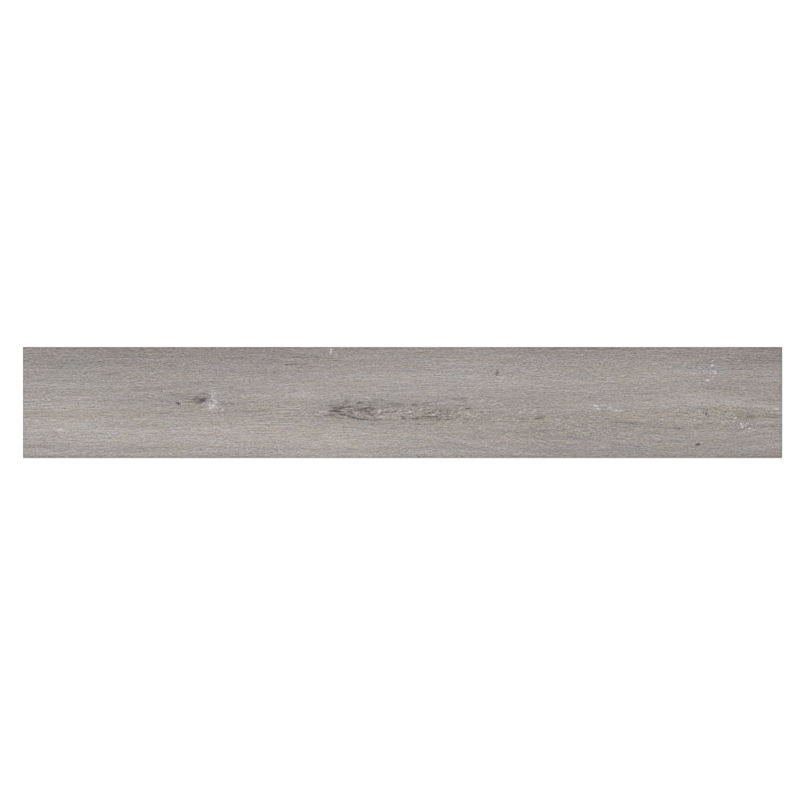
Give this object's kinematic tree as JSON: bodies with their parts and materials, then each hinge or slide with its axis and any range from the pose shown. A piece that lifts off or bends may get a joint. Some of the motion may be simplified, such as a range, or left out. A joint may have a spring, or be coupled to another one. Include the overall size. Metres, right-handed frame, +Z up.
{
  "type": "vinyl floor plank",
  "caption": "Flat rectangular glue-down vinyl floor plank with micro-bevelled edges and a grey oak print, laid edge to edge as a floor covering.",
  "frame": {"origin": "centre of the back, on the surface that the plank lies on", "axes": "+X along the plank's length, +Y across its width, +Z up through its thickness, out of the printed face"},
  "size_m": [1.2192, 0.1778, 0.0025],
  "materials": {
    "printed_vinyl": "matte"
  },
  "bodies": {
    "root": {"vinyl_plank": "printed_vinyl"}
  },
  "joints": []
}
